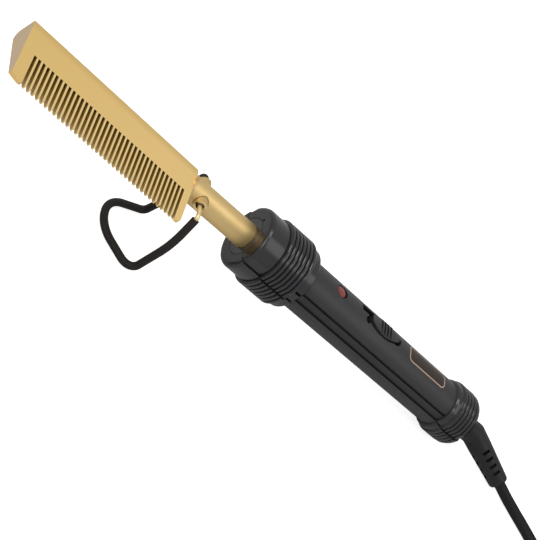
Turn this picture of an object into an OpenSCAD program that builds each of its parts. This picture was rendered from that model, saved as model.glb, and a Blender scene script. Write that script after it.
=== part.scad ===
// Electric hot comb: heated brass comb head on a barrel tube, a clamshell
// handle with slide switch and pilot light, a fold-out wire stand, and a
// swivel mains cord. The tool leans on its stand and its rear collar.

/* [Comb head] */
// Number of teeth, guard teeth included
tooth_count = 38; // [12:1:44]
// Distance from one tooth to the next
tooth_pitch = 2.47; // [2:0.01:3.2]
// Width of the slot between two teeth
slot_w = 1.1; // [0.8:0.05:1.5]
// Depth of the slots from the tooth tips
slot_depth = 15.3; // [8:0.1:18]
// Height of the comb section from spine to tooth tips
comb_h = 29.8; // [24:0.1:34]
// Thickness of the comb section at its spine
comb_back_t = 14.2; // [12:0.1:18]
// Thickness of the teeth at their tips
comb_tip_t = 1.6; // [1:0.1:3]
// Height of the spine above the barrel axis
comb_spine = 5.6; // [4:0.1:8]

/* [Barrel tube] */
// Outer diameter of the barrel tube
tube_d = 12.7; // [11:0.1:14]
// Wall thickness of the barrel tube
tube_wall = 0.8; // [0.6:0.1:1.2]
// Exposed length from the comb to the handle
tube_exposed = 39.2; // [34:0.1:50]

/* [Handle] */
// Radius of the smooth ring of the front collar
front_r = 16.5; // [15:0.1:18]
// Crest radius of the front ribs
rib_r = 18.05; // [17.5:0.05:20]
// Number of front ribs
rib_count = 7; // [4:1:8]
// Length of one rib
rib_pitch = 2.45; // [2:0.05:2.8]
// Grip radius just behind the front collar
grip_front_r = 12.76; // [12.5:0.01:13.5]
// Grip radius just before the rear collar
grip_rear_r = 12.47; // [12.3:0.01:13]
// Crest radius of the rear ribs
rear_rib_r = 15.1; // [14.8:0.1:16]
// Wall thickness of the grip
shell_wall = 2.3; // [1.8:0.1:2.6]
// Depth of the flat strip above each parting line
strip_depth = 0.9; // [0.5:0.1:1.2]

/* [Stand] */
// Wire diameter of the stand
wire_d = 2; // [1.6:0.1:2.4]
// Outer diameter of the black sleeve
sleeve_d = 3.8; // [3:0.1:4]
// Where the pivot lies on the barrel axis
pivot_x = -31; // [-33:0.1:-20]
// How far the foot bend lies ahead of the pivot
foot_lead = 3.9; // [1:0.1:5]

/* [Controls] */
// Length of the switch knob
knob_l = 20.1; // [18:0.1:22]
// Width of the switch knob
knob_w = 8.9; // [8:0.1:10]
// Travel of the switch knob towards the comb
switch_travel = 2; // [1.5:0.1:2.4]
// Diameter of the pilot light lens
lens_d = 5.9; // [5:0.1:6.4]

/* [Mains cord] */
// Outer diameter of the cord
cord_d = 6; // [5:0.1:6.4]
// Diameter of the coil at the middle of its turns
coil_d = 66; // [60:1:72]
// Layers of turns in the coil, two turns side by side in each
coil_layers = 4; // [2:1:4]

/* [Hidden] */
$fn = 64;
eps = 0.01;

// ---- Comb section and teeth ----
comb_rear = -tube_exposed;
slot_first = comb_rear - 4.75 - (tooth_count - 2) * tooth_pitch;
comb_front = slot_first - 6.7;
comb_tip_y = comb_spine - comb_h;
tooth_root_y = comb_tip_y + slot_depth;
tip_round = 0.75;
comb_pitch = 1.2;
comb_pitch_x = -55;
heater_d = 6.2;
heater_front = comb_front + 7.5;
heater_rear = comb_rear + 3.2;

// ---- Barrel ----
tube_r = tube_d / 2;
tube_bore_r = tube_r - tube_wall;
tube_end = 22;
spigot_l = 4.6;

// ---- Handle outline ----
front_round = 2.1;
ring_end = 12;
ribs_end = ring_end + rib_count * rib_pitch;
flange_end = 34;
flange_r = 16.4;
rear_start = 145.1;
rear_ribs_start = 149;
rear_rib_count = 4;
rear_rib_pitch = 2.5;
rear_ribs_end = rear_ribs_start + rear_rib_count * rear_rib_pitch;
handle_end = 165.2;
strip_top = 5.9;
groove_z = [4.4, 5.8];
groove_depth = 1.3;
parting_w = 0.45;
parting_depth = 0.8;
cavity_r = grip_rear_r - shell_wall;
bush_r = 9.9;
bush_flange_r = 11;
neck_r = 7.2;
collar_disc_r = 10.6;
collar_x = [11.5, 14.5];

// ---- Handle fasteners ----
boss_x = [38, 112, 134];
boss_r = 3.75;
screw_d = 2.9;
screw_head_d = 5.6;
screw_seat_z = -6;

// ---- Stance: the tool axis runs along +X and slopes down to the cord ----
tilt = 7.68;
floor_rise = max([for (p = rear_outline()) sin(tilt) * p[0] + cos(tilt) * p[1]]);
footprint_middle = [15.92, -3.45, 0];

// ---- Stand ----
pivot_z = 1.5;
boss_face = 7.6;
boss_cup_r = 3.25;
boss_spigot_r = 2.2;
pin_inner = 4.7;
pin_play = 0.05;
sleeve_play = 0.05;
lap = 0.25;
lap_step = 0.02;

// ---- Switch and light ----
knob_x = 86.7;
knob_side_r = 19;
knob_crown_r = 13.4;
knob_base = 11;
pocket_gap = 0.6;
shield_top = 8.2;
shield_t = 0.8;
shield_l = 26;
shield_w = 10.8;
switch_x = [75, 97];
switch_w = 10;
switch_top = 7.1;
switch_base = 0.6;
terminal_x = [78, 86, 94];
terminal_t = 0.8;
terminal_z = -3.4;
ear_x = [66, 103];
lens_x = 54.1;
lens_seat = 9.2;

// ---- Leads and swivel ----
lead_d = 1.6;
lead_y = 1.5;
lead_z = -1.2;
core_r = 5;
journal_play = 0.06;
journal_x = [157, 160];
flange_gap = 0.1;
core_flange_r = 8.3;
core_flange_t = 3;
core_end = 171;
ring_x = [145.5, 150.5];
ring_w = 3;
ring_r = 4.2;
stub_r = 6.3;
knee_x = 176.5;

// ---- Cord route, in the frame of the resting tool ----
boot_end = [201.3, -13.6, 6.1];
boot_end_r = 5.1;
cord_r = cord_d / 2;
cord_route = [
    boot_end, [204.8, -15.4, 5.2], [208.6, -17.4, 4.2], [212.7, -19.8, 3.5], [216.8, -22.8, 3.1],
    [220.8, -26.2, 3.05], [225.6, -30.6, 3.05], [232.4, -36.9, 3.05], [242.6, -44.4, 3.05],
    [254.1, -49.5, 3.05], [266.3, -52.1, 3.05], [278.9, -52.1, 3.05], [289.1, -50.1, 3.05],
    [298.6, -46.5, 3.05]
];
coil_centre = [283, -14];
coil_h = coil_layers * cord_d;
tail_route = [
    [318.1, -10.9, 23.6], [315.2, -2.3, 25.6], [310.4, 5.2, 26.8], [303.3, 12, 27.05],
    [293.2, 17.4, 27.05], [281.8, 19, 27.05], [270.6, 16.6, 27.05], [260.9, 10.5, 27.05],
    [253.9, 1.5, 27.05], [250.7, -7.1, 27.05], [250, -14, 27.05], [250.8, -20.2, 27.1],
    [253.2, -26, 27.5], [257, -31, 28.2], [262, -34.8, 29], [267.8, -37.2, 29.8],
    [274, -38, 30.2], [277, -38, 30.2]
];
plug_yaw = 0;
plug_size = [34, 24, 12.4];
tie_angle = 110;
tie_t = 1;
tie_w = 8;

// ================= helpers =================

function arc(centre, radius, from, to, steps = 6) =
    [for (i = [0 : steps]) let (a = from + (to - from) * i / steps)
        centre + radius * [cos(a), sin(a)]];

function mirrored(points) =
    concat(points, [for (i = [len(points) - 1 : -1 : 0]) [points[i][0], -points[i][1]]]);

function unit(v) = v / norm(v);

// Children laid on the ground, with the middle of the tool's footprint at the origin
module ground() {
    translate(-footprint_middle) children();
}

// Children drawn along the tool axis, then laid in the resting stance
module tool() {
    ground() translate([0, 0, floor_rise]) rotate([0, tilt, 0]) children();
}

// Solid of revolution about the tool axis, from [x, radius] points
module revolve(points) {
    rotate([0, 90, 0]) rotate_extrude($fn = 96) polygon([for (p = points) [p[1], p[0]]]);
}

module x_cylinder(from, to, r) {
    translate([from, 0, 0]) rotate([0, 90, 0]) cylinder(h = to - from, r = r);
}

module x_ring(from, to, r, bore) {
    difference() {
        x_cylinder(from, to, r);
        x_cylinder(from - 1, to + 1, bore);
    }
}

// Rod of radius r from a to b
module rod(a, b, r) {
    d = b - a;
    translate(a) rotate([0, acos(d[2] / norm(d)), atan2(d[1], d[0])])
        cylinder(h = norm(d), r = r);
}

// Ring or disc sector: a bar of radius r bent through sweep degrees at radius bend
module bend(bend_radius, sweep, r, bore = 0) {
    rotate_extrude(angle = sweep, $fn = 72) translate([bend_radius, 0]) difference() {
        circle(r = r, $fn = 32);
        if (bore > 0) circle(r = bore, $fn = 32);
    }
}

// Round tube swept along a route, with a ring of points at every route point
module swept_tube(route, r, sides = 10) {
    last = len(route) - 1;
    function heading(i) =
        unit(unit(route[min(i + 1, last)] - route[min(i, last - 1)])
            + unit(route[max(i, 1)] - route[max(i - 1, 0)]));
    points = [for (i = [0 : last])
        let (h = heading(i), side = unit(cross(h, [0, 0, 1])), up = cross(side, h))
        for (k = [0 : sides - 1]) let (a = 360 * (k + 0.5) / sides)
            route[i] + r * (sin(a) * side - cos(a) * up)];
    walls = [for (i = [0 : last - 1], k = [0 : sides - 1])
        let (n = (k + 1) % sides)
        [i * sides + k, i * sides + n, (i + 1) * sides + n, (i + 1) * sides + k]];
    start_cap = [for (k = [sides - 1 : -1 : 0]) k];
    end_cap = [for (k = [0 : sides - 1]) last * sides + k];
    polyhedron(points, concat([start_cap], walls, [end_cap]), convexity = 4);
}

module lead(route) {
    swept_tube(route, lead_d / 2, 8);
}

// ================= comb head =================

// Half thickness of the comb section at height y
function half_t(y) =
    comb_tip_t / 2 + (comb_back_t - comb_tip_t) / 2 * (y - comb_tip_y) / comb_h;

// Section in the YZ plane: near shoulder tight, far shoulder fully rounded
function comb_section() =
    let (near_r = 0.9, far_r = 4.3, far_z = -half_t(0.6) + far_r)
    concat(
        [[comb_tip_y, half_t(comb_tip_y)], [comb_tip_y, -half_t(comb_tip_y)]],
        arc([comb_spine - far_r, far_z], far_r, -76, 0, 8),
        arc([comb_spine - near_r, half_t(comb_spine) - near_r - 0.35], near_r, 0, 77, 4)
    );

// Side view in the XY plane: every tooth with its rounded tip
function teeth_outline() =
    let (w = tooth_pitch - slot_w)
    concat(
        arc([comb_rear - 2.5, comb_spine - 2.5], 2.5, 0, 90, 4),
        [[comb_front, comb_spine], [comb_front, comb_tip_y + 2.1],
         [comb_front + 4.6, comb_tip_y]],
        [for (i = [0 : tooth_count - 2])
            let (x = slot_first + i * tooth_pitch, a = x - slot_w / 2, b = x + slot_w / 2,
                 last = i == tooth_count - 2)
            for (p = concat(
                i == 0 ? [[a, comb_tip_y + 0.5]] : [[a, comb_tip_y + tip_round]],
                [[a, tooth_root_y], [b, tooth_root_y]],
                last ? [] : [[b, comb_tip_y + tip_round]],
                last ? [] : [[b + w * 0.28, comb_tip_y], [b + w * 0.72, comb_tip_y]])) p],
        arc([comb_rear - 2.4, comb_tip_y + 1.95], 1.95, 180, 360, 8)
    );

module comb_head() color("#c9a862") tool() difference() {
    union() {
        translate([comb_pitch_x, 0, 0]) rotate([0, comb_pitch, 0]) translate([-comb_pitch_x, 0, 0])
            intersection() {
                translate([comb_front, 0, 0]) rotate([90, 0, 90])
                    linear_extrude(comb_rear - comb_front) polygon(comb_section());
                translate([0, 0, -comb_back_t]) linear_extrude(2 * comb_back_t)
                    polygon(teeth_outline());
            }
        x_cylinder(comb_rear - 1, comb_rear + spigot_l, tube_bore_r);
    }
    x_cylinder(heater_front, comb_rear + spigot_l + 1, heater_d / 2);
}

module heater_cartridge() color("#9a9a98") tool()
    x_cylinder(heater_front, heater_rear, heater_d / 2);

module heater_bead() color("#e8e2d2") tool() difference() {
    x_cylinder(heater_rear, heater_rear + 3, heater_d / 2 - 0.1);
    for (side = [-1, 1]) translate([0, side * lead_y, lead_z])
        x_cylinder(heater_rear - 1, heater_rear + 4, lead_d / 2);
}

module thermal_fuse() color("#d8cba8") tool() translate([0, lead_y, lead_z])
    x_ring(-20, -10, 1.9, lead_d / 2);

// ================= barrel and stand =================

module stand_side(side) {
    translate([pivot_x, 0, pivot_z]) rotate([side > 0 ? -90 : 90, 0, 0]) children();
}

module barrel_tube() color("#c4a35f") tool() difference() {
    x_ring(comb_rear, tube_end, tube_r, tube_bore_r);
    for (side = [-1, 1]) stand_side(side) cylinder(h = tube_d, r = boss_spigot_r);
}

// Cup-shaped bosses: a spigot through the tube wall, a slotted cup around the pin outside
module stand_bosses() color("#c9a55c") tool() difference() {
    union() {
        difference() {
            for (side = [-1, 1]) stand_side(side) translate([0, 0, 4])
                cylinder(h = boss_face - 4, r = boss_cup_r);
            x_cylinder(pivot_x - 5, pivot_x + 5, tube_r);
        }
        for (side = [-1, 1]) stand_side(side) translate([0, 0, 4.6])
            cylinder(h = 3, r = boss_spigot_r);
    }
    for (side = [-1, 1]) stand_side(side) {
        cylinder(h = boss_face + 1, r = wire_d / 2 + pin_play);
        translate([0, 0, boss_face - 1.3]) cylinder(h = 2, r = 2);
        translate([-4, -0.8, boss_face - 0.9]) cube([8, 1.6, 2]);
    }
}

// Pivot of the stand, in the frame of the resting tool
stand_pivot = [cos(tilt) * pivot_x + sin(tilt) * pivot_z, 0,
               cos(tilt) * pivot_z - sin(tilt) * pivot_x + floor_rise];

// Corners of the stand from the near pin along the foot to the far pin: [point, bend radius]
stand_corners = let (x = stand_pivot[0], z = stand_pivot[2],
        foot_z = sleeve_d / 2 + lap_step) [
    [[x, -pin_inner, z], 0],
    [[x, -14.4, z], 2],
    [[x - 0.9, -21.3, z - 16], 40],
    [[x - foot_lead, -22.3, foot_z], 4.4],
    [[x - 9.6, -21, foot_z], 6],
    [[x - 23.9, -9.4, foot_z], 17],
    [[x - 23.4, 7.6, foot_z], 11.4],
    [[x - foot_lead, 14.4, foot_z], 2.6],
    [[x - 0.5, 12.4, z - 14.5], 14],
    [[x, 11.3, z], 2.2],
    [[x, pin_inner, z], 0]
];

// Length that a bend of radius r takes from each of the two straights it joins
function bend_cut(u, v, r) = r * tan(acos(u * v) / 2);

// Bar of radius r bent around the corner at p, from direction u to direction v
module corner(p, u, v, bend_radius, r, bore) {
    n = unit(v - (v * u) * u);
    w = cross(u, n);
    c = p - u * bend_cut(u, v, bend_radius) + n * bend_radius;
    multmatrix([[-n[0], u[0], w[0], c[0]], [-n[1], u[1], w[1], c[1]], [-n[2], u[2], w[2], c[2]]])
        bend(bend_radius, acos(u * v), r, bore);
}

// Bar or tube bent along corners; the bends are a lap step thicker than the straights
module bent_bar(corners, r, bore = 0) {
    last = len(corners) - 1;
    function way(i) = unit(corners[i + 1][0] - corners[i][0]);
    function inset(i) = i == 0 || i == last ? 0
        : bend_cut(way(i - 1), way(i), corners[i][1]) - lap;
    for (i = [0 : last - 1]) {
        start = corners[i][0] + way(i) * inset(i);
        end = corners[i + 1][0] - way(i) * inset(i + 1);
        difference() {
            rod(start, end, r);
            if (bore > 0) rod(start - way(i), end + way(i), bore);
        }
    }
    for (i = [1 : last - 1])
        corner(corners[i][0], way(i - 1), way(i), corners[i][1], r + lap_step,
               bore > 0 ? bore - lap_step : 0);
}

module stand_wire() color("#c8a762") ground() bent_bar(stand_corners, wire_d / 2);

// The sleeve leaves the near pin bare and reaches the boss on the far side
module stand_sleeve() color("#232021") ground() {
    top = stand_corners[1][0];
    near_way = unit(stand_corners[2][0] - top);
    far_end = [stand_pivot[0], boss_face + 0.3, stand_pivot[2]];
    bent_bar(concat([[top + 1.5 * near_way, 0]],
        [for (i = [2 : len(stand_corners) - 2]) stand_corners[i]], [[far_end, 0]]),
        sleeve_d / 2, wire_d / 2 + sleeve_play);
}

// ================= handle =================

// One rounded rib from x to x + length, between valley and crest radius
function rib(x, length, valley, crest) = [
    [x, valley], [x + 0.14 * length, crest - 0.3], [x + 0.34 * length, crest],
    [x + 0.66 * length, crest], [x + 0.86 * length, crest - 0.3], [x + length, valley]
];

function front_outline() = concat(
    [[0, front_r - front_round]],
    arc([front_round, front_r - front_round], front_round, 180, 90, 5),
    [[ring_end - 0.4, front_r], [ring_end, front_r - 0.4]],
    [for (k = [0 : rib_count - 1])
        for (p = rib(ring_end + k * rib_pitch, rib_pitch, front_r + 0.2, rib_r)) p],
    [[ribs_end, flange_r], [flange_end - 0.6, flange_r - 0.1], [flange_end, flange_r - 0.6],
     [flange_end, grip_front_r]]
);

function rear_outline() = concat(
    [[rear_start, grip_rear_r], [rear_start + 0.3, 13.2], [rear_start + 1.2, 13.9],
     [rear_start + 3, 14.2], [rear_ribs_start - 0.3, 13.9]],
    [for (k = [0 : rear_rib_count - 1])
        for (p = rib(rear_ribs_start + k * rear_rib_pitch, rear_rib_pitch, 14.1, rear_rib_r)) p],
    [[rear_ribs_end + 0.4, 14.85], [rear_ribs_end + 1.6, 14.85], [rear_ribs_end + 3.2, 14.1],
     [rear_ribs_end + 4.7, 12.7], [rear_ribs_end + 5.8, 10.7], [handle_end, 8.4]]
);

function handle_outline() = concat(front_outline(), rear_outline());

// Space inside the two shells, as [x, radius] points
function cavity_outline() = [
    [-1, 0], [-1, bush_r + 0.25], [0, bush_r + 0.25], [0.25, bush_r], [6, bush_r],
    [6, bush_flange_r], [9, bush_flange_r], [9, neck_r],
    [collar_x[0], neck_r], [collar_x[0], collar_disc_r], [collar_x[1], collar_disc_r],
    [collar_x[1], neck_r], [17, neck_r], [20, cavity_r], [journal_x[0] - 2, cavity_r],
    [journal_x[0], core_r + journal_play], [journal_x[1], core_r + journal_play],
    [journal_x[1], core_flange_r + 0.3],
    [journal_x[1] + core_flange_t + 2 * flange_gap, core_flange_r + 0.3],
    [journal_x[1] + core_flange_t + 2 * flange_gap, stub_r + 0.35],
    [handle_end + 1, stub_r + 0.35], [handle_end + 1, 0]
];

// Side view of the handle as seen along Z, a given depth inside its outline
function lowered(depth) = [for (p = handle_outline()) [p[0], p[1] - depth]];

// Everything between two heights that lies outside the lowered side view
module outside(depth, x_span, z_span) {
    difference() {
        translate([x_span[0], -25, z_span[0]])
            cube([x_span[1] - x_span[0], 50, z_span[1] - z_span[0]]);
        translate([0, 0, z_span[0] - 1]) linear_extrude(z_span[1] - z_span[0] + 2)
            polygon(mirrored(concat([[-2, front_r - front_round - depth]], lowered(depth),
                                    [[handle_end + 2, 8.4 - depth]])));
    }
}

// Flat strips of the top shell above the parting line, with a groove along their top
module side_strips() {
    outside(strip_depth, [-1, handle_end + 1], [-1, strip_top]);
    outside(strip_depth + groove_depth, [flange_end, rear_start], groove_z);
}

// Groove in the rim of the bottom shell, at the foot of the strips
module parting_groove() {
    translate([0, 0, -parting_depth]) linear_extrude(parting_depth + 1) difference() {
        polygon(mirrored(lowered(strip_depth - parting_w)));
        polygon(mirrored(concat([[-1, front_r - front_round - strip_depth]],
                                lowered(strip_depth + parting_w), [[handle_end + 1, 7]])));
    }
    translate([-1, -20, -0.3]) cube([1.3, 40, 1]);
}

// Almond outline of the knob, grown by gap, standing between two heights
module almond(from, to, gap) {
    intersection() {
        translate([0, knob_side_r - knob_w / 2, from])
            cylinder(h = to - from, r = knob_side_r + gap, $fn = 128);
        translate([0, knob_w / 2 - knob_side_r, from])
            cylinder(h = to - from, r = knob_side_r + gap, $fn = 128);
        translate([0, 0, from]) cylinder(h = to - from, r = knob_l / 2 + gap, $fn = 96);
    }
}

// Opening in the top shell: knob pocket, travel, guide slot, front notch and rear notch
module switch_pocket() {
    for (shift = [0, -switch_travel]) translate([knob_x + shift, 0, 0])
        almond(4, 20, pocket_gap);
    translate([knob_x - switch_travel, -knob_w / 2 - pocket_gap + 0.05, 4])
        cube([switch_travel, knob_w + 2 * pocket_gap - 0.1, 16]);
    translate([69.5, 0.1, 4]) cube([8, 3.8, 16]);
    translate([74.5, -2.65, 4]) cylinder(h = 16, r = 1.7);
    translate([95.6, 0, 4]) cylinder(h = 16, r = 3.4);
}

module shell_solid() {
    difference() {
        revolve(concat([[0, 0]], handle_outline(), [[handle_end, 0]]));
        revolve(cavity_outline());
    }
}

// Fillet of material that carries a straight column up to the round wall
module inner_column(x, y, r, from) {
    intersection() {
        translate([x, y, from]) cylinder(h = 20, r = r);
        x_cylinder(x - r - 1, x + r + 1, cavity_r + 0.8);
    }
}

module handle_top() color("#2b2b2d") tool() difference() {
    union() {
        intersection() {
            shell_solid();
            translate([-1, -25, 0]) cube([handle_end + 2, 50, 25]);
        }
        for (x = boss_x) inner_column(x, 0, boss_r, 0);
        for (x = ear_x) inner_column(x, 0, 2.3, switch_top);
        inner_column(lens_x, 0, 5.2, lens_seat);
    }
    for (x = boss_x) translate([x, 0, -1]) cylinder(h = 9, r = screw_d / 2 - 0.15);
    for (x = ear_x) translate([x, 0, switch_top - 1]) cylinder(h = 3.6, r = 0.85);
    translate([lens_x + 0.25, 0, lens_seat - 1]) cylinder(h = 6, r = lens_d / 2 + 0.45);
    side_strips();
    switch_pocket();
    translate([-1, 4, 10.2]) x_cylinder(0, 4, 0.75);
    for (side = [-1, 1]) translate([ribs_end + 0.5, side * 15 - 2, strip_top - 0.6])
        cube([flange_end - ribs_end - 1.3, 4, 1.2]);
}

module handle_bottom() color("#2b2b2d") tool() difference() {
    union() {
        intersection() {
            shell_solid();
            translate([-1, -25, -25]) cube([handle_end + 2, 50, 25]);
        }
        for (x = boss_x) mirror([0, 0, 1]) inner_column(x, 0, boss_r, 0);
    }
    for (x = boss_x) translate([x, 0, 0]) {
        translate([0, 0, -20]) cylinder(h = 21, r = screw_d / 2 + 0.15);
        translate([0, 0, -20]) cylinder(h = 20 + screw_seat_z, r = screw_head_d / 2 + 0.3);
    }
    parting_groove();
}

module handle_screws() color("#8d8f93") tool() for (x = boss_x) translate([x, 0, 0]) difference() {
    union() {
        translate([0, 0, screw_seat_z - 2]) cylinder(h = 2, r = screw_head_d / 2);
        translate([0, 0, screw_seat_z - eps]) cylinder(h = 6.5 - screw_seat_z, r = screw_d / 2);
    }
    translate([-2, -0.35, screw_seat_z - 3]) cube([4, 0.7, 2]);
    translate([-0.35, -2, screw_seat_z - 3]) cube([0.7, 4, 2]);
}

module front_bush() color("#1f1f20") tool() difference() {
    revolve([[0, 0], [0, bush_r - 0.3], [0.3, bush_r], [6, bush_r], [6, bush_flange_r],
             [9, bush_flange_r], [9, 0]]);
    x_cylinder(-1, 10, tube_r);
}

module tube_collar() color("#a5a7aa") tool() difference() {
    x_ring(collar_x[0], collar_x[1], collar_disc_r, tube_r);
    for (side = [-1, 1]) translate([collar_x[0] - 1, side * 12.4 - 2.5, -11])
        cube([5, 5, 22]);
}

// ================= pilot light =================

module pilot_lens() color("#b6322c") tool() translate([lens_x, 0, 0]) difference() {
    rotate_extrude() polygon(concat(
        [[0, 6.4], [lens_d / 2 + 1.2, 6.4], [lens_d / 2 + 1.2, lens_seat],
         [lens_d / 2, lens_seat], [lens_d / 2, 11.9]],
        [for (a = [20 : 20 : 80]) [lens_d / 2 * cos(a), 11.9 + 0.7 * sin(a)]],
        [[0, 12.6]]));
    translate([0, 0, 5]) cylinder(h = 5.6, r = 2.3);
}

module neon_lamp() color("#e7b18c") tool() translate([lens_x, 0, 0]) {
    translate([0, 0, 0.6]) cylinder(h = 7.6, r = 2.2);
    translate([0, 0, 8.2]) sphere(r = 2.19);
    for (side = [-1, 1]) translate([side * 1.2, 0, -2.6]) cylinder(h = 3.4, r = 0.3, $fn = 24);
}

module lamp_resistor() color("#b99a6b") tool()
    translate([0, 0, -2.3]) x_cylinder(lens_x + 1.5, lens_x + 8.5, 1.2);

// ================= slide switch =================

module switch_knob() color("#262628") tool() translate([knob_x, 0, 0]) {
    intersection() {
        almond(knob_base, knob_crown_r + 1, 0);
        x_cylinder(-knob_l, knob_l, knob_crown_r);
        translate([-knob_l, -knob_w, knob_base]) difference() {
            cube([2 * knob_l, 2 * knob_w, 4]);
            translate([knob_l + 1, -1, 26.8]) rotate([-90, 0, 0])
                cylinder(h = 2 * knob_w + 2, r = 25, $fn = 128);
        }
    }
    intersection() {
        for (k = [-1.5 : 1.5]) translate([0.45 + k * 2.2, -3.8, knob_base + 0.5])
            cube([0.9, 7.6, 3]);
        x_cylinder(-knob_l, knob_l, knob_crown_r + 0.3);
    }
    translate([-4, -1.5, switch_top - 1.6]) cube([8, 3, knob_base - switch_top + 1.6 + eps]);
}

module slide_shield() color("#1b1b1c") tool() difference() {
    translate([knob_x - shield_l / 2, -shield_w / 2, shield_top - shield_t])
        cube([shield_l, shield_w, shield_t]);
    translate([knob_x - 4, -1.5, shield_top - 2]) cube([8, 3, 3]);
}

module contact_bridge() color("#c7a15a") tool() translate([knob_x, 0, 0])
    translate([-4, -1.5, switch_top - 2.2]) cube([8, 3, 0.6]);

module switch_body() color("#3a3a3c") tool() difference() {
    union() {
        translate([switch_x[0], -switch_w / 2, switch_base])
            cube([switch_x[1] - switch_x[0], switch_w, switch_top - 0.2 - switch_base]);
        translate([ear_x[0] - 2.3, -2.6, switch_top - 1.2])
            cube([ear_x[1] - ear_x[0] + 4.6, 5.2, 1.2]);
    }
    translate([knob_x - 4.6 - switch_travel, -2.1, switch_top - 2.6])
        cube([9.2 + switch_travel, 4.2, 4]);
    for (x = ear_x) translate([x, 0, switch_top - 2]) cylinder(h = 4, r = 1.1);
}

module switch_screws() color("#8d8f93") tool() for (x = ear_x) translate([x, 0, 0]) {
    translate([0, 0, switch_top - 2.4]) cylinder(h = 1.2, r = 1.9);
    translate([0, 0, switch_top - 1.2 - eps]) cylinder(h = 3.4, r = 1);
}

module switch_terminals() color("#c7a15a") tool() for (x = terminal_x)
    translate([x - 1.6, -terminal_t / 2, terminal_z])
        cube([3.2, terminal_t, switch_base - terminal_z]);

module low_heat_diode() color("#333333") tool() {
    translate([0, -terminal_t / 2 - 0.3, terminal_z + 1.3]) x_cylinder(79.8, 84.2, 1.3);
    translate([0, -terminal_t / 2 - 0.3, terminal_z + 1.3]) x_cylinder(77, 87, 0.3, $fn = 24);
}

// ================= inner leads =================

module live_lead() color("#d9d4c6") tool()
    lead([[heater_rear, lead_y, lead_z], [18, lead_y, lead_z], [26, 5.8, -2.5],
          [72, 6.6, -2.5], [78, 3.4, -2], [78, terminal_t / 2, -2]]);

module neutral_lead() color("#d9d4c6") tool()
    lead([[heater_rear, -lead_y, lead_z], [18, -lead_y, lead_z], [26, -5.8, -2.5],
          [96, -6.8, -2.5], [102, -7, -2.5]]);

module crimp_cap() color("#d8d8d8") tool() translate([0, -7, -2.5])
    x_cylinder(102, 111, 2);

module return_lead() color("#26262a") tool()
    lead([[111, -7, -2.5], [139, -6.6, -2.5], [143, -5.4, -5.4], [ring_x[0] + 1.5, -5.4, -5.4]]);

module feed_lead() color("#26262a") tool()
    lead([[94, terminal_t / 2, -2], [94, 3.4, -2], [99, 6.6, -2.5], [139, 6.6, -2.5],
          [144, 5.4, -5.4], [ring_x[1] + 1.5, 5.4, -5.4]]);

// ================= swivel =================

module brush_carrier() color("#4a3c30") tool() intersection() {
    translate([143.6, -7, -12]) cube([11.2, 14, 5.4]);
    x_cylinder(143, 156, cavity_r);
}

// Leaf spring pressing up towards a slip ring
module brush(x, side) {
    translate([x + ring_w, 0, 0]) rotate([90, 0, -90]) linear_extrude(ring_w)
        polygon([for (p = [[-6.2, -6.6], [-1, -6.6], [2.2, -4.9], [2.2, -4.5], [1.9, -4.5],
                           [-1.2, -6.2], [-6.2, -6.2]]) [side * p[0], p[1]]]);
}

module brush_springs() color("#c7a15a") tool() {
    brush(ring_x[0], -1);
    brush(ring_x[1], 1);
}

module swivel_core() color("#55504a") tool() {
    revolve([[144.4, 0], [144.4, 3.2], [155.4, 3.2], [155.4, core_r], [160.1, core_r],
             [160.1, core_flange_r], [160.1 + core_flange_t, core_flange_r],
             [160.1 + core_flange_t, core_r], [core_end, core_r], [core_end, 0]]);
}

module slip_rings() color("#c7a15a") tool() for (x = ring_x) x_ring(x, x + ring_w, ring_r, 3.2);

// ================= cord end =================

knee = [cos(tilt) * knee_x, 0, floor_rise - sin(tilt) * knee_x];
boot_run = boot_end - knee;
boot_l = norm(boot_run);
boot_yaw = atan2(boot_run[1], boot_run[0]);
boot_pitch = -asin(boot_run[2] / boot_l);

module cord_boot() color("#262629") {
    tool() difference() {
        x_cylinder(163.7, knee_x, stub_r);
        x_cylinder(163, core_end, core_r);
    }
    ground() translate(knee) {
        sphere(r = stub_r + lap_step);
        rotate([0, boot_pitch, boot_yaw]) difference() {
            revolve([[0, 0], [0, stub_r], [8, stub_r - 0.2], [boot_l - 1.2, boot_end_r],
                     [boot_l - 0.4, boot_end_r - 0.4], [boot_l, boot_end_r - 1.3], [boot_l, 0]]);
            for (row = [0 : 3], turn = [0 : 90 : 270])
                rotate([turn + 45, 0, 0]) translate([9.5 + row * 4.2, -2, cord_r + 0.6])
                    cube([1.7, 4, 4]);
        }
    }
}

module mains_cord() color("#28282b") ground() swept_tube(cord_route, cord_r);

module cord_coil() color("#28282b") ground() translate([coil_centre[0], coil_centre[1], 0])
    rotate_extrude($fn = 96) translate([coil_d / 2 - cord_d, 0]) square([2 * cord_d, coil_h]);

// Outline of the coil's bundle with the tail on top, grown by gap, as [radius, z] points
function bundle(gap) =
    let (r = coil_d / 2, half = cord_d, slope = 0.4 * gap)
    [[r - half - gap, 0], [r - half - gap, coil_h + slope], [r - cord_r - slope, coil_h + cord_d + gap],
     [r + cord_r + slope, coil_h + cord_d + gap], [r + half + gap, coil_h + slope],
     [r + half + gap, 0]];

module cord_tie() color("#1d1d1f") ground() translate([coil_centre[0], coil_centre[1], 0])
    rotate([90, 0, tie_angle]) translate([0, 0, -tie_w / 2]) linear_extrude(tie_w) difference() {
        polygon(bundle(tie_t));
        polygon(bundle(0));
    }

module cord_tail() color("#28282b") ground() swept_tube(tail_route, cord_r);

plug_start = tail_route[len(tail_route) - 1];

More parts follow.
